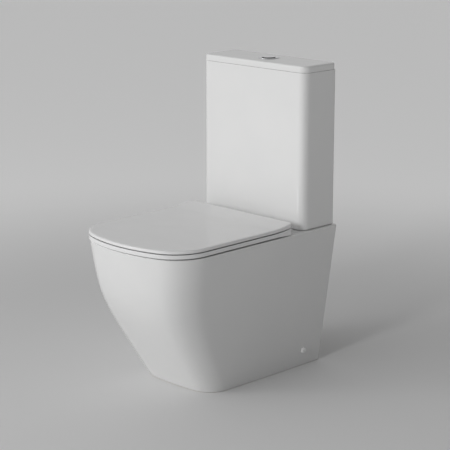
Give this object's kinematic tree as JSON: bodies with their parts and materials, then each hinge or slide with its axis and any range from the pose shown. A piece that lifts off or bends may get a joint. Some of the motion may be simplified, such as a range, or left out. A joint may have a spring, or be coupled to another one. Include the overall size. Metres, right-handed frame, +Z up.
{
  "type": "close coupled toilet",
  "caption": "Back-to-wall close coupled toilet: skirted china pan and cistern, soft-close seat, dual flush button, working flush and fill valves and floor fixing kit.",
  "frame": {"origin": "on the floor, under the middle of the bounding box", "axes": "+Z up, the front and the seat's free edge face -Y, the wall side faces +Y"},
  "size_m": [0.3958, 0.616, 0.8435],
  "materials": {
    "china": "gloss glaze",
    "seat_plastic": "polished thermoset",
    "chrome": "polished",
    "steel": "bright",
    "rubber": "matt",
    "pad_silicone": "clear silicone",
    "valve_white": "satin",
    "valve_blue": "satin",
    "bracket_plastic": "satin",
    "cap_plastic": "gloss"
  },
  "bodies": {
    "root": {"pan": "china", "bowl": "china", "trapway": "china", "flush_duct": "china", "cistern_tank": "china", "lid_pads": "pad_silicone", "flush_valve_base": "valve_white", "flush_valve_washer": "rubber", "flush_valve_backnut": "valve_white", "flush_valve_frame": "valve_white", "flush_valve_head": "valve_blue", "fill_valve_body": "valve_white", "fill_valve_washer": "rubber", "fill_valve_backnut": "valve_white", "fill_valve_cap": "valve_blue", "lever_pin": "steel", "inlet_filter": "valve_white", "doughnut_gasket": "rubber", "coupling_bolts": "steel", "coupling_seals": "rubber", "coupling_washers": "steel", "coupling_wing_nuts": "steel", "side_brackets": "bracket_plastic", "side_screws": "steel", "screw_sleeves": "valve_white", "side_caps": "cap_plastic", "hinge_posts": "chrome", "hinge_pins": "steel", "hinge_rosettes": "chrome", "hinge_studs": "steel", "hinge_bushes": "rubber", "hinge_nuts": "valve_white"},
    "ring": {"seat_ring": "seat_plastic", "ring_buffers": "rubber", "ring_damper": "bracket_plastic"},
    "lid": {"seat_lid": "seat_plastic", "lid_buffers": "rubber", "lid_damper": "bracket_plastic"},
    "cistern_cover": {"cistern_lid": "china", "button_bezel": "chrome", "bezel_nut": "valve_white", "bezel_washer": "rubber", "full_button_spring": "steel", "half_button_spring": "steel"},
    "full_button": {"full_flush_button": "chrome", "full_push_rod": "valve_white"},
    "half_button": {"half_flush_button": "chrome", "half_push_rod": "valve_white"},
    "full_plate": {"full_flush_plate": "valve_blue"},
    "half_plate": {"half_flush_plate": "valve_blue"},
    "valve_core": {"overflow_tube": "valve_white", "valve_seal": "rubber"},
    "float": {"fill_float": "valve_white", "float_link": "steel"},
    "lever": {"float_lever": "valve_blue"}
  },
  "joints": [
    {"name": "seat_ring_hinge", "type": "hinge", "parent": "root", "child": "ring", "pos_m": [0, 0.15, 0.417], "axis": [1, 0, 0], "range_deg": [-92, 0]},
    {"name": "seat_lid_hinge", "type": "hinge", "parent": "ring", "child": "lid", "pos_m": [0, 0.15, 0.417], "axis": [-1, 0, 0], "range_deg": [0, 92]},
    {"name": "cistern_lid_lift", "type": "slide", "parent": "root", "child": "cistern_cover", "axis": [0, 0, 1], "range_m": [0, 0.2]},
    {"name": "full_flush_press", "type": "slide", "parent": "cistern_cover", "child": "full_button", "axis": [0, 0, -1], "range_m": [0, 0.006], "stiffness_N_per_m": 400, "springref_m": -0.006, "deforming": ["full_button_spring"]},
    {"name": "half_flush_press", "type": "slide", "parent": "cistern_cover", "child": "half_button", "axis": [0, 0, -1], "range_m": [0, 0.006], "stiffness_N_per_m": 400, "springref_m": -0.006, "deforming": ["half_button_spring"]},
    {"name": "full_plate_press", "type": "slide", "parent": "root", "child": "full_plate", "axis": [0, 0, -1], "range_m": [0, 0.006]},
    {"name": "half_plate_press", "type": "slide", "parent": "root", "child": "half_plate", "axis": [0, 0, -1], "range_m": [0, 0.006]},
    {"name": "flush_valve_lift", "type": "slide", "parent": "root", "child": "valve_core", "axis": [0, 0, 1], "range_m": [0, 0.018]},
    {"name": "float_travel", "type": "slide", "parent": "root", "child": "float", "axis": [0, 0, 1], "range_m": [-0.012, 0]},
    {"name": "float_lever_tilt", "type": "hinge", "parent": "root", "child": "lever", "pos_m": [-0.148, 0.2441, 0.658], "axis": [0, 1, 0], "range_deg": [0, 16]}
  ],
  "couplings": [
    {"joint": "full_plate_press", "follows": "full_flush_press", "ratio": 1},
    {"joint": "half_plate_press", "follows": "half_flush_press", "ratio": 1},
    {"joint": "flush_valve_lift", "follows": "full_flush_press", "ratio": 3},
    {"joint": "float_lever_tilt", "follows": "float_travel", "rad_per_m": -23.256}
  ]
}
